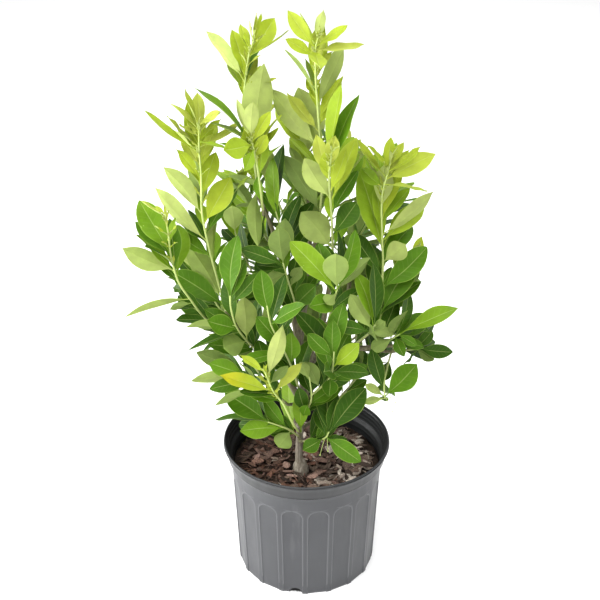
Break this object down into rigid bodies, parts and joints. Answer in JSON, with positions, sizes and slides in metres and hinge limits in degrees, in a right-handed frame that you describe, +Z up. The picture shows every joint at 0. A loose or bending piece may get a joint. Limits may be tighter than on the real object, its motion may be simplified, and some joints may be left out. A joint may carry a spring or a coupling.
{
  "type": "potted anise tree",
  "caption": "Evergreen anise shrub with many leafy shoots on a short woody trunk, growing in bark-covered soil in a round ribbed nursery pot.",
  "frame": {"origin": "middle of the pot's underside, on the surface it stands on", "axes": "+Z up, -Y towards the side the picture shows, +X to that side's right"},
  "size_m": [0.5142, 0.4086, 0.9681],
  "materials": {
    "pot_plastic": "moulded charcoal grey plastic, satin outside and glossier inside",
    "bark_mulch": "dry reddish brown bark chips over potting soil",
    "woody_bark": "pale grey brown bark with fine streaks",
    "young_leaf": "young yellow green leaves, satin above and matte below",
    "mature_leaf": "mature mid to dark green leaves, satin above and paler below"
  },
  "bodies": {
    "root": {"pot": "pot_plastic", "soil": "bark_mulch", "trunk": "woody_bark", "spire_left": "young_leaf", "tuft_upper_left": "young_leaf", "spire_right": "young_leaf", "spire_far_left": "young_leaf", "shoot_left": "young_leaf", "tuft_left": "mature_leaf", "tuft_inner_left": "mature_leaf", "tuft_centre": "mature_leaf", "shoot_lime": "young_leaf", "tuft_low_far_left": "mature_leaf", "tuft_low_left": "mature_leaf", "sprout_low_right": "mature_leaf", "tuft_trunk": "mature_leaf", "tuft_centre_right": "mature_leaf", "tuft_inner_middle": "mature_leaf", "tuft_mid_right": "mature_leaf", "tuft_upper_middle": "mature_leaf", "shoot_middle": "young_leaf", "tuft_right": "mature_leaf", "spire_far_right": "young_leaf", "shoot_right_low": "mature_leaf", "twig_right": "mature_leaf", "tuft_low_right": "mature_leaf", "shoot_back_01": "mature_leaf", "shoot_back_02": "mature_leaf", "shoot_back_03": "mature_leaf", "shoot_back_04": "mature_leaf", "shoot_back_05": "mature_leaf", "shoot_back_06": "mature_leaf", "shoot_back_07": "mature_leaf", "shoot_back_08": "mature_leaf", "shoot_back_09": "mature_leaf", "shoot_back_10": "mature_leaf", "shoot_back_11": "young_leaf", "shoot_back_12": "young_leaf", "shoot_back_13": "young_leaf"}
  },
  "joints": []
}
